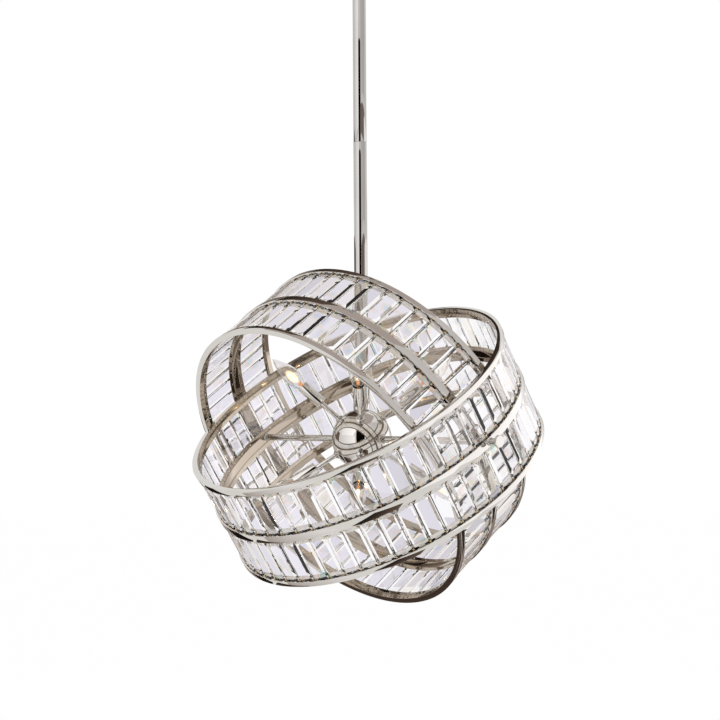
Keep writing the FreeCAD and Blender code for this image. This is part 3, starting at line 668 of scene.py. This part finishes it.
def makeCoil(place):
    # a glowing wire wound up between the leads
    radius, thickness = filamentSizes["coilRadius"], filamentSizes["wireRadius"]
    steps = filamentSizes["coilTurns"] * filamentSizes["turnSteps"]
    coil = bmesh.new()
    previous = None
    for step in range(steps + 1):
        turn = math.tau * step / filamentSizes["turnSteps"]
        height = filamentSizes["coilStart"] + filamentSizes["coilLength"] * step / steps
        corner = coil.verts.new((radius * math.cos(turn), radius * math.sin(turn), height))
        if previous:
            coil.edges.new((previous, corner))
        previous = corner
    data = bpy.data.meshes.new("coilPath")
    coil.to_mesh(data)
    coil.free()
    path = bpy.data.objects.new("coilPath", data)
    bpy.context.scene.collection.objects.link(path)
    skin = path.modifiers.new("thread", "SKIN")
    skin.use_smooth_shade = True
    for point in data.skin_vertices[0].data:
        point.radius = (thickness, thickness)
    whole = bpy.data.meshes.new_from_object(path.evaluated_get(bpy.context.evaluated_depsgraph_get()))
    mesh = bmesh.new()
    mesh.from_mesh(whole)
    bpy.data.objects.remove(path)
    mesh.transform(place)
    return mesh


def glowShape(key, place):
    size = glowSizes[key]
    mesh = bmesh.new()
    bmesh.ops.create_icosphere(mesh, subdivisions=4, radius=1.0)
    mesh.transform(place @ Matrix.Translation((0, 0, size["height"]))
                   @ Matrix.Diagonal((size["radius"], size["radius"], size["reach"], 1)))
    return mesh


def sleeveOutline(hole):
    start, mouth = armSizes["sleeveStart"], armSizes["mouth"]
    outer, bore, floor = armSizes["sleeveRadius"], armSizes["sleeveBore"], start + armSizes["sleeveFloor"]
    return [(hole, start), (outer, start), (outer, mouth), (bore, mouth), (bore, floor), (hole, floor)]


def socketOutline(hole):
    floor, top = armSizes["sleeveStart"] + armSizes["sleeveFloor"], armSizes["capTop"]
    outer, bore, seat = armSizes["socketRadius"], armSizes["socketHole"], top - armSizes["socketDepth"]
    return [(hole, floor), (outer, floor), (outer, top), (bore, top), (bore, seat), (hole, seat)]


def capOutline():
    radius, top, taper = armSizes["capRadius"], armSizes["capTop"], armSizes["capTaper"]
    foot = top - armSizes["capDepth"]
    return [(0, foot), (radius - taper, foot), (radius, foot + taper), (radius, top), (0, top)]


def makeBulb(number, place):
    inner = bulbOutline(bulbSizes["wall"])
    inner.reverse()
    turnedPiece("bulb_glass_%d" % number, bulbOutline(0.0) + inner, place, "bulbGlass", "stem",
                ("bulb_%d" % number,), bulbSizes["steps"], rounding=0.0)
    finishPiece("filament_%d" % number, makeCoil(place), "filament", "stem")
    # the painted halo and the painted mouth glow
    for name, finish in (("lamp_glow", "lampGlow"), ("lamp_painted_mouth_glow", "paintedMouthGlow")):
        finishPiece("%s_%d" % (name, number), glowShape(finish, place), finish, "stem")


def makeArms():
    hole = armSizes["radius"] + armSizes["play"]
    arm = tube(armSizes["bore"], armSizes["radius"], armSizes["root"], armSizes["end"])
    collar = [(hole, armSizes["collarSeat"])] + armSizes["collar"] + [(hole, armSizes["collarTop"])]
    arms, collars, sockets, caps, leads = [], [], [], [], []
    for number, direction in enumerate(armDirections(), start=1):
        place = hubPlace(direction)
        bulbPlace = hubPlace(direction, armSizes["mouth"])
        arms.append(turnedMesh(arm, place))
        collars.append(turnedMesh(collar, place))
        turnedPiece("sleeve_tube_%d" % number, sleeveOutline(hole), place, "nickel", "stem",
                    ("candle_sleeve_%d" % number,), armSizes["sleeveSteps"],
                    rounding=armSizes["sleeveRounding"])
        sockets.append(turnedMesh(socketOutline(hole), place, rounding=armSizes["socketRounding"]))
        caps.append(turnedMesh(capOutline(), place, closed=False, rounding=armSizes["capRounding"]))
        leads.append(leadWires(bulbPlace))
        makeBulb(number, bulbPlace)
    finishPiece("arm_set", joinMeshes(arms), "nickel", "stem", ("arm_tubes",))
    finishPiece("arm_collar_set", joinMeshes(collars), "nickel", "stem", ("arm_collars",))
    finishPiece("socket_set", joinMeshes(sockets), "blackPhenolic", "stem", ("lamp_sockets",))
    finishPiece("bulb_cap_set", joinMeshes(caps), "brass", "stem", ("bulb_caps",))
    finishPiece("filament_leads", joinMeshes(leads), "zinc", "stem")


makeArms()
print("candle arms made")

# each ring is built about its own Z axis, then tilted about the bar
ringSizes = {
    "radius": 317.3,
    "inside": 306.5,
    "ledge": 308.3,
    "halfBand": 103.5,
    "edgeRim": 10.0,
    "edgeFlange": 19.0,
    "middleRim": 7.25,
    "middleFlange": 17.5,
    "ribHeight": 0.5,
    "ribWidth": 1.3,
    "ribTop": 0.6,  # share of the rib's width
    "ribFromRim": 1.0,
    "steps": 240,
    "rounding": 0.9,
    "insideDepth": 0.5,
}

crystalSizes = {
    "perRow": 60,
    "back": 308.65,
    "gap": 0.6,
    "endPlay": 0.3,
    "depth": 6.0,
    "edgeDepth": 3.2,
    "backDraft": 3.0,
    "faceHalf": 10.6,
    "tip": 12.0,
    "tipSetback": 0.9,
    "cornerCut": 2.0,
    "lean": 0.5,
    "mergeAngle": 0.5,
    "tableNormal": 0.999,
    "bevelShade": (0.0, 0.3),
    "tableShade": (0.35, 1.0),
}

pinSizes = {
    "headRadius": 1.6,
    "topRadius": 1.0,
    "height": 0.8,
    "inwards": 0.38,
    "fromMiddle": 5.2,
    "fromEdge": 4.6,
}

beadSizes = {
    "radius": 313.8,
    "across": 3.8,
    "along": 4.4,
    "thick": 2.6,
}

rings = {
    "ring_a": {"offset": 16.0, "tilt": 33.0},
    "ring_b": {"offset": -16.0, "tilt": 124.6},
}

crystalPitch = math.tau / crystalSizes["perRow"]
rowStarts = {1: crystalPitch / 2, -1: 0.0}  # first crystal's angle in the upper and in the lower row


def ringPlace(key):
    ring = rings[key]
    return (Matrix.Translation(hubCentre + alongX * ring["offset"] * mm)
            @ Matrix.Rotation(math.radians(ring["tilt"]), 4, "X") @ Matrix.Scale(mm, 4))


def ribbed(spots):
    # the inner face's line, with a small raised rib at each spot
    inside, top = ringSizes["inside"], ringSizes["inside"] - ringSizes["ribHeight"]
    half = ringSizes["ribWidth"] / 2
    topHalf = half * ringSizes["ribTop"]
    line = []
    for spot in spots:
        line += [(inside, spot - half), (top, spot - topHalf), (top, spot + topHalf), (inside, spot + half)]
    return line


def middleOutline():
    rim, flange = ringSizes["middleRim"], ringSizes["middleFlange"]
    radius, inside, ledge = ringSizes["radius"], ringSizes["inside"], ringSizes["ledge"]
    rib = rim + ringSizes["ribFromRim"]
    outer = [(inside, flange), (ledge, flange), (ledge, rim), (radius, rim), (radius, -rim),
             (ledge, -rim), (ledge, -flange), (inside, -flange)]
    return outer + ribbed((-rib, rib))


def edgeOutline(side):
    half, rim, flange = ringSizes["halfBand"], ringSizes["edgeRim"], ringSizes["edgeFlange"]
    radius, inside, ledge = ringSizes["radius"], ringSizes["inside"], ringSizes["ledge"]
    outline = [(inside, half), (radius, half), (radius, half - rim), (ledge, half - rim),
               (ledge, half - flange), (inside, half - flange)]
    outline += ribbed((half - rim - ringSizes["ribFromRim"],))
    return [(across, side * along) for across, along in outline]


def makeHoop(key, name, outline, replaced):
    # the inner face takes a warmer, darker metal than the rim, painted shade and painted warm reflection of
    # the lit inside
    place = ringPlace(key)
    hoop = turnedPiece(key + name, outline, place, "nickel", key, (key + replaced,),
                       ringSizes["steps"], rounding=ringSizes["rounding"])
    hoop.data.materials.append(finishes["hoopInsidePaintedShade"])
    back = place.inverted()
    for face in hoop.data.polygons:
        spot = back @ face.center
        if math.hypot(spot.x, spot.y) < ringSizes["inside"] + ringSizes["insideDepth"]:
            face.material_index = 1


def facetedCrystal():
    # cut corners, bevelled sides and pointed ends round a long flat table
    half = math.tan(math.pi / crystalSizes["perRow"]) * ringSizes["ledge"] - crystalSizes["gap"] / 2
    space = ringSizes["halfBand"] - ringSizes["edgeRim"] - ringSizes["middleRim"]
    end, cut = space / 2 - crystalSizes["endPlay"], crystalSizes["cornerCut"]
    outline = [(-half, -end + cut), (-half + cut, -end), (half - cut, -end), (half, -end + cut),
               (half, end - cut), (half - cut, end), (-half + cut, end), (-half, end - cut)]
    draft = crystalSizes["backDraft"]
    back = [(across * (1 - draft / half), along * (1 - draft / end)) for across, along in outline]
    face, shoulder = crystalSizes["faceHalf"], end - crystalSizes["tip"]
    tip = end - crystalSizes["tipSetback"]
    table = [(-face, -shoulder), (0, -tip), (face, -shoulder), (face, shoulder), (0, tip), (-face, shoulder)]
    mesh = bmesh.new()
    levels = ((back, 0.0), (outline, crystalSizes["edgeDepth"]), (table, crystalSizes["depth"]))
    for corners, height in levels:
        for across, along in corners:
            mesh.verts.new((across, along, height))
    bmesh.ops.convex_hull(mesh, input=mesh.verts)
    bmesh.ops.dissolve_limit(mesh, angle_limit=math.radians(crystalSizes["mergeAngle"]),
                             verts=mesh.verts, edges=mesh.edges)
    turnOutwards(mesh)
    mesh.normal_update()
    return mesh


def shadeFacets(mesh):
    # the crystal finish tints each facet by its shade, and the table most; the low shades leave the bevels
    # clear as a painted highlight
    shade = mesh.faces.layers.float.new("shade")
    table = random.uniform(*crystalSizes["tableShade"])
    for face in mesh.faces:
        onTable = face.normal.z > crystalSizes["tableNormal"]
        face[shade] = table if onTable else random.uniform(*crystalSizes["bevelShade"])


def standRound(mesh, radius, axial, angle):
    # the mesh's X axis along the hoop, its Y axis across the band and its Z axis outwards
    radial = Vector((math.cos(angle), math.sin(angle), 0.0))
    tangent = Vector((-math.sin(angle), math.cos(angle), 0.0))
    base = radial * radius + alongZ * axial
    mesh.transform(Matrix(((tangent.x, 0, radial.x, base.x), (tangent.y, 0, radial.y, base.y),
                           (0, 1, 0, base.z), (0, 0, 0, 1))))


def crystalRow(key, row, side):
    centre = side * (ringSizes["halfBand"] - ringSizes["edgeRim"] + ringSizes["middleRim"]) / 2
    pattern = facetedCrystal()
    crystals = []
    for number in range(crystalSizes["perRow"]):
        mesh = pattern.copy()
        shadeFacets(mesh)
        lean = math.radians(random.uniform(-crystalSizes["lean"], crystalSizes["lean"]))
        mesh.transform(Matrix.Rotation(lean, 4, "Y"))
        standRound(mesh, crystalSizes["back"], centre, rowStarts[side] + crystalPitch * number)
        crystals.append(mesh)
    pattern.free()
    mesh = joinMeshes(crystals)
    mesh.transform(ringPlace(key))
    name = "%s_%s_crystals" % (key, row)
    finishPiece(name + "_cut", mesh, "crystal", key, (name,), 1)


def repeatRound(key, pattern, radius, spots, shift):
    # copies of a small shape in both rows, at each spot from the ring's middle
    copies = []
    for side in (1, -1):
        for number in range(crystalSizes["perRow"]):
            for spot in spots:
                mesh = pattern.copy()
                standRound(mesh, radius, side * spot, rowStarts[side] + shift + crystalPitch * number)
                copies.append(mesh)
    pattern.free()
    whole = joinMeshes(copies)
    whole.transform(ringPlace(key))
    return whole


def crystalPins(key):
    # a small button head inside each crystal's end, on the flange
    spots = (ringSizes["middleRim"] + pinSizes["fromMiddle"],
             ringSizes["halfBand"] - ringSizes["edgeRim"] - pinSizes["fromEdge"])
    head = bmesh.new()
    bmesh.ops.create_cone(head, segments=10, radius1=pinSizes["topRadius"], radius2=pinSizes["headRadius"],
                          depth=pinSizes["height"], cap_ends=True)
    heads = repeatRound(key, head, ringSizes["inside"] - pinSizes["inwards"], spots, 0.0)
    finishPiece(key + "_crystal_pins", heads, "nickel", key)


def jointBeads(key):
    # a small gilt bead over each joint between crystals, against the hoops
    along = beadSizes["along"]
    spots = (ringSizes["middleRim"] + along / 2, ringSizes["halfBand"] - ringSizes["edgeRim"] - along / 2)
    bead = bmesh.new()
    bmesh.ops.create_uvsphere(bead, u_segments=8, v_segments=5, radius=0.5)
    bead.transform(Matrix.Diagonal((beadSizes["across"], along, beadSizes["thick"], 1)))
    beads = repeatRound(key, bead, beadSizes["radius"], spots, crystalPitch / 2)
    finishPiece(key + "_joint_clips", beads, "bronze", key, (), 60)


def makeRing(key):
    makeHoop(key, "_middle_band", middleOutline(), "_middle_hoop")
    makeHoop(key, "_upper_rim", edgeOutline(1), "_upper_edge_hoop")
    makeHoop(key, "_lower_rim", edgeOutline(-1), "_lower_edge_hoop")
    crystalRow(key, "upper", 1)
    crystalRow(key, "lower", -1)
    crystalPins(key)
    jointBeads(key)


random.seed(7)
for key in rings:
    makeRing(key)
    print(key, "made")

# finishes of the pieces that are kept from the frame
keptFinishes = {
    "mounting_bar": "zinc",
    "ground_screw": "groundGreen",
    "canopy_nipple": "brass",
    "nipple_locknut": "zinc",
    "swivel_retainer_nut": "brass",
    "swivel_yoke": "nickel",
    "knuckle_pin": "nickel",
    "knuckle_lug": "nickel",
    "stem_coupler": "nickelInside",
    "stem_neck": "nickelInside",
    "hub_core": "nickelInside",
    "cross_rod": "zinc",
    "ring_a_struts": "nickel",
    "ring_b_struts": "nickel",
}
for node, finish in keptFinishes.items():
    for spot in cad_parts[node].material_slots:
        spot.material = finishes[finish]

# the studio in metres: pale floor, white surround, soft lamps, reflector cards
studio = {
    "floorDrop": 2.7,
    "floorSize": 40.0,
    "floorTone": 0.9,
    "floorRoughness": 0.9,
    "shadowShare": 0.08,
    "surroundLight": 0.5,
    "warmth": (0.99, 0.95, 0.90),
    "insideGlass": 0.15,  # share of the cards' tones in what goes round inside the crystals
}

softLamps = {
    "keyLamp": {"azimuth": -38, "elevation": 45, "distance": 3.0, "size": (1.6, 1.6), "power": 60},
    "fillLamp": {"azimuth": 62, "elevation": 25, "distance": 3.0, "size": (1.4, 2.0), "power": 30},
}

cardStand = {
    "nearest": 2.2,
    "apart": 0.03,
    "widest": 150,  # degrees
    "floorBelow": -41,  # degrees of elevation past which a card lies flat
    "overheadAbove": 80,
    "floorGap": 0.02,
    "overheadHeight": 3.0,
    "brightTint": (1.0, 0.99, 1.015),
    "darkTint": (1.45, 0.95, 0.7),
    "backTint": (1.0, 0.975, 1.06),
}

# each card's span of azimuth, rightwards from the camera's side, and of elevation,
# and its brightness at the left and at the right, or also at the top corners
reflectorCards = {
    "darkRoom": {"azimuth": (-22, 11), "elevation": (-16, 36), "tones": (0.003, 0.003)},
    "leftSoftbox": {"azimuth": (-92, -27), "elevation": (13, 58), "tones": (1.2, 1.6)},
    "leftFlag": {"azimuth": (-160, -97), "elevation": (-5, 18), "tones": (0.04, 0.16)},
    "leftSkirt": {"azimuth": (-92, -27), "elevation": (-16, 12), "tones": (0.9, 1.45)},
    "rightStrip": {"azimuth": (14, 58), "elevation": (-22, 9), "tones": (1.2, 1.45)},
    "rightSoftbox": {"azimuth": (58, 132), "elevation": (-15, 18), "tones": (1.35, 1.65)},
    "rightTop": {"azimuth": (14, 90), "elevation": (22, 58), "tones": (0.85, 0.7)},
    "rightTopFlag": {"azimuth": (14, 84), "elevation": (11, 20), "tones": (0.2, 0.3)},
    "backRightWall": {"azimuth": (132, 174), "elevation": (-8, 20), "tones": (1.3, 0.05)},
    "lowRightFlag": {"azimuth": (98, 136), "elevation": (-42, -16), "tones": (0.04, 0.03)},
    "lowRightWall": {"azimuth": (134, 168), "elevation": (-36, -10), "tones": (0.3, 0.2)},
    "backTopFlag": {"azimuth": (-178, -153), "elevation": (19, 38), "tones": (0.4, 0.2, 0.1, 0.1)},
    "highBackFlag": {"azimuth": (-176, -136), "elevation": (38, 74), "tones": (0.015, 0.015, 0.08, 0.1)},
    "lowLeftFlag": {"azimuth": (-150, -129), "elevation": (-38, -16), "tones": (0.01, 0.01)},
    "lowLeftWall": {"azimuth": (-172, -150), "elevation": (-38, -10), "tones": (0.4, 0.3)},
    "backPanel": {"azimuth": (166, 194), "elevation": (-13, 13), "tones": (0.64, 0.98, 0.80, 0.9),
                  "mirrored": False},
    "overhead": {"azimuth": (-180, 180), "elevation": (60, 90), "tones": (0.5, 0.5)},
    "cameraShade": {"azimuth": (-3, 32), "elevation": (-62, -40), "tones": (0.005, 0.12)},
    "lowLeftFloor": {"azimuth": (-110, -45), "elevation": (-66, -39), "tones": (0.5, 1.1)},
    "lowBackShade": {"azimuth": (-160, -112), "elevation": (-64, -40), "tones": (0.06, 0.04)},
}


def fromCamera(azimuth, elevation):
    # unit direction out from the hub, the azimuth counted from the camera's side
    turn, rise = math.radians(photoView["azimuth"] + azimuth), math.radians(elevation)
    return Vector((math.sin(turn) * math.cos(rise), -math.cos(turn) * math.cos(rise), math.sin(rise)))


def seenDirectly(nodes, links):
    # 1 for camera, mirror and glass rays, 0 for the rays that light things
    path = nodes.new("ShaderNodeLightPath").outputs
    first = mathOf(nodes, links, "MAXIMUM", path["Is Camera Ray"], path["Is Glossy Ray"])
    return mathOf(nodes, links, "MAXIMUM", first, path["Is Transmission Ray"])


def mirroredShare(nodes, links):
    # 1 for what the metal mirrors, part of it for what goes round inside the crystals, else 0,
    # and the colour of the clear surround, warm and dimmer after a mirroring inside the crystals
    path = nodes.new("ShaderNodeLightPath").outputs
    once = mathOf(nodes, links, "MINIMUM", path["Glossy Depth"], 1.0)
    within = mathOf(nodes, links, "MINIMUM", path["Transmission Depth"], 1.0)
    kept = mathOf(nodes, links, "MULTIPLY_ADD", within, studio["insideGlass"] - 1, 1.0)
    mirroredWithin = mathOf(nodes, links, "MULTIPLY", once, within)
    clear = rampOf(nodes, links, mirroredWithin, ((0.0, (1, 1, 1)), (1.0, studio["warmth"])))
    return mathOf(nodes, links, "MULTIPLY", once, kept), clear


def blendShaders(nodes, links, share, first, second, output):
    blend = nodes.new("ShaderNodeMixShader")
    links.new(share, blend.inputs[0])
    links.new(first.outputs[0], blend.inputs[1])
    links.new(second.outputs[0], blend.inputs[2])
    links.new(blend.outputs[0], output.inputs["Surface"])


def makeSurround():
    world = bpy.data.worlds.new("surround")
    world.use_nodes = True
    nodes, links = world.node_tree.nodes, world.node_tree.links
    nodes.clear()
    seen = nodes.new("ShaderNodeBackground")
    links.new(mirroredShare(nodes, links)[1], seen.inputs["Color"])
    light = nodes.new("ShaderNodeBackground")
    light.inputs["Color"].default_value = (1, 1, 1, 1)
    light.inputs["Strength"].default_value = studio["surroundLight"]
    output = nodes.new("ShaderNodeOutputWorld")
    blendShaders(nodes, links, seenDirectly(nodes, links), light, seen, output)
    bpy.context.scene.world = world


def stagePlane(name, size, place):
    mesh = bmesh.new()
    bmesh.ops.create_grid(mesh, x_segments=1, y_segments=1, size=0.5)
    mesh.transform(place @ Matrix.Diagonal((size[0], size[1], 1, 1)))
    data = bpy.data.meshes.new(name)
    mesh.to_mesh(data)
    mesh.free()
    plane = bpy.data.objects.new(name, data)
    bpy.context.scene.collection.objects.link(plane)
    return plane


def makeFloor():
    # white where it is seen, but for a share that keeps the shadow
    extent, tone, shadowShare = studio["floorSize"], studio["floorTone"], studio["shadowShare"]
    floor = stagePlane("floor", (extent, extent), Matrix.Translation((0, 0, -studio["floorDrop"])))
    material, nodes, links, shader = newMaterial("paleFloor")
    shader.inputs["Base Color"].default_value = (tone, tone, tone, 1)
    shader.inputs["Roughness"].default_value = studio["floorRoughness"]
    white = nodes.new("ShaderNodeEmission")
    white.inputs["Strength"].default_value = 1 + shadowShare / 2
    share = mathOf(nodes, links, "MULTIPLY", seenDirectly(nodes, links), 1 - shadowShare)
    blendShaders(nodes, links, share, shader, white, nodes["Material Output"])
    floor.data.materials.append(material)


def liesFlat(card):
    low, high = card["elevation"]
    return low < cardStand["floorBelow"] or high > cardStand["overheadAbove"]


def spreadOf(card):
    # half the card's width, as a share of its distance
    left, right = card["azimuth"]
    return math.tan(math.radians(min(right - left, cardStand["widest"]) / 2))


def standingPlace(card, distance):
    # facing the hub
    (left, right), (low, high) = card["azimuth"], card["elevation"]
    out = fromCamera((left + right) / 2, (low + high) / 2)
    width = 2 * distance * spreadOf(card) * math.cos(math.radians((low + high) / 2))
    height = 2 * distance * math.tan(math.radians((high - low) / 2))
    turn = out.to_track_quat("Z", "Y").to_matrix().to_4x4()
    return Matrix.Translation(hubCentre + out * distance) @ turn, (width, height)


def flatPlace(card):
    # on the floor, or overhead where it is above the hub
    (left, right), (low, high) = card["azimuth"], card["elevation"]
    out = fromCamera((left + right) / 2, 0)
    turn = Matrix.Rotation(math.atan2(out.y, out.x) - math.pi / 2, 4, "Z")
    if low > 0:
        level = cardStand["overheadHeight"]
        extent = 2 * level / math.tan(math.radians(low))
        return Matrix.Translation(hubCentre + alongZ * level) @ turn, (extent, extent)
    level = studio["floorDrop"] + hubCentre.z - cardStand["floorGap"]
    near = level / math.tan(math.radians(-low))
    far = level / math.tan(math.radians(-high))
    reach = (near + far) / 2
    centre = hubCentre + out * reach - alongZ * level
    return Matrix.Translation(centre) @ turn, (2 * reach * spreadOf(card), far - near)


def cardTones(data, card, mirrored):
    # each corner's colour by its side and height, the darker the browner
    (left, right), (low, high) = card["azimuth"], card["elevation"]
    tones = card["tones"] if len(card["tones"]) == 4 else card["tones"] * 2
    ahead = fromCamera((left + right) / 2, 0)
    rightwards = Vector((-ahead.y, ahead.x, 0))
    towardsTop = ahead if low < 0 else -ahead
    colours = data.color_attributes.new("tone", "FLOAT_COLOR", "POINT")
    middle = sum((vertex.co for vertex in data.vertices), Vector()) / len(data.vertices)
    for vertex, colour in zip(data.vertices, colours.data):
        away = vertex.co - middle
        onRight = away.dot(rightwards) > 0
        above = away.dot(towardsTop) > 0 if liesFlat(card) else away.z > 0
        tone = tones[onRight + 2 * above]
        darkness = max(0.0, 1 - tone) ** 2
        tint = Vector(cardStand["brightTint"]).lerp(Vector(cardStand["darkTint"]), darkness)
        if not mirrored:
            tint = cardStand["backTint"]
        colour.color = (*(tone * share for share in tint), 1)


def makeCards():
    # the cards show in the metal and on the crystals, what the clear glass shows is mostly white
    for number, (name, card) in enumerate(reflectorCards.items()):
        distance = cardStand["nearest"] + cardStand["apart"] * number
        place, size = flatPlace(card) if liesFlat(card) else standingPlace(card, distance)
        mirrored = card.get("mirrored", True)
        plane = stagePlane(name, size, place)
        plane.visible_camera = plane.visible_diffuse = plane.visible_shadow = False
        plane.visible_glossy = mirrored
        cardTones(plane.data, card, mirrored)
        material, nodes, links, shader = newMaterial(name)
        output = nodes["Material Output"]
        tone = nodes.new("ShaderNodeEmission")
        shown = nodes.new("ShaderNodeAttribute")
        shown.attribute_name = "tone"
        links.new(shown.outputs["Color"], tone.inputs["Color"])
        if mirrored:
            clear = nodes.new("ShaderNodeEmission")
            share, surround = mirroredShare(nodes, links)
            links.new(surround, clear.inputs["Color"])
            blendShaders(nodes, links, share, clear, tone, output)
        else:
            links.new(tone.outputs[0], output.inputs["Surface"])
        plane.data.materials.append(material)


def makeLamps():
    for name, soft in softLamps.items():
        data = bpy.data.lights.new(name, "AREA")
        data.shape = "RECTANGLE"
        data.size, data.size_y = soft["size"]
        data.energy = soft["power"]
        lamp = bpy.data.objects.new(name, data)
        bpy.context.scene.collection.objects.link(lamp)
        out = fromCamera(soft["azimuth"], soft["elevation"])
        lamp.location = hubCentre + out * soft["distance"]
        lamp.rotation_euler = out.to_track_quat("Z", "Y").to_euler()
        lamp.visible_camera = lamp.visible_glossy = lamp.visible_transmission = False


makeSurround()
makeFloor()
makeCards()
makeLamps()
bpy.context.scene.view_settings.view_transform = "Standard"
print("studio lit")
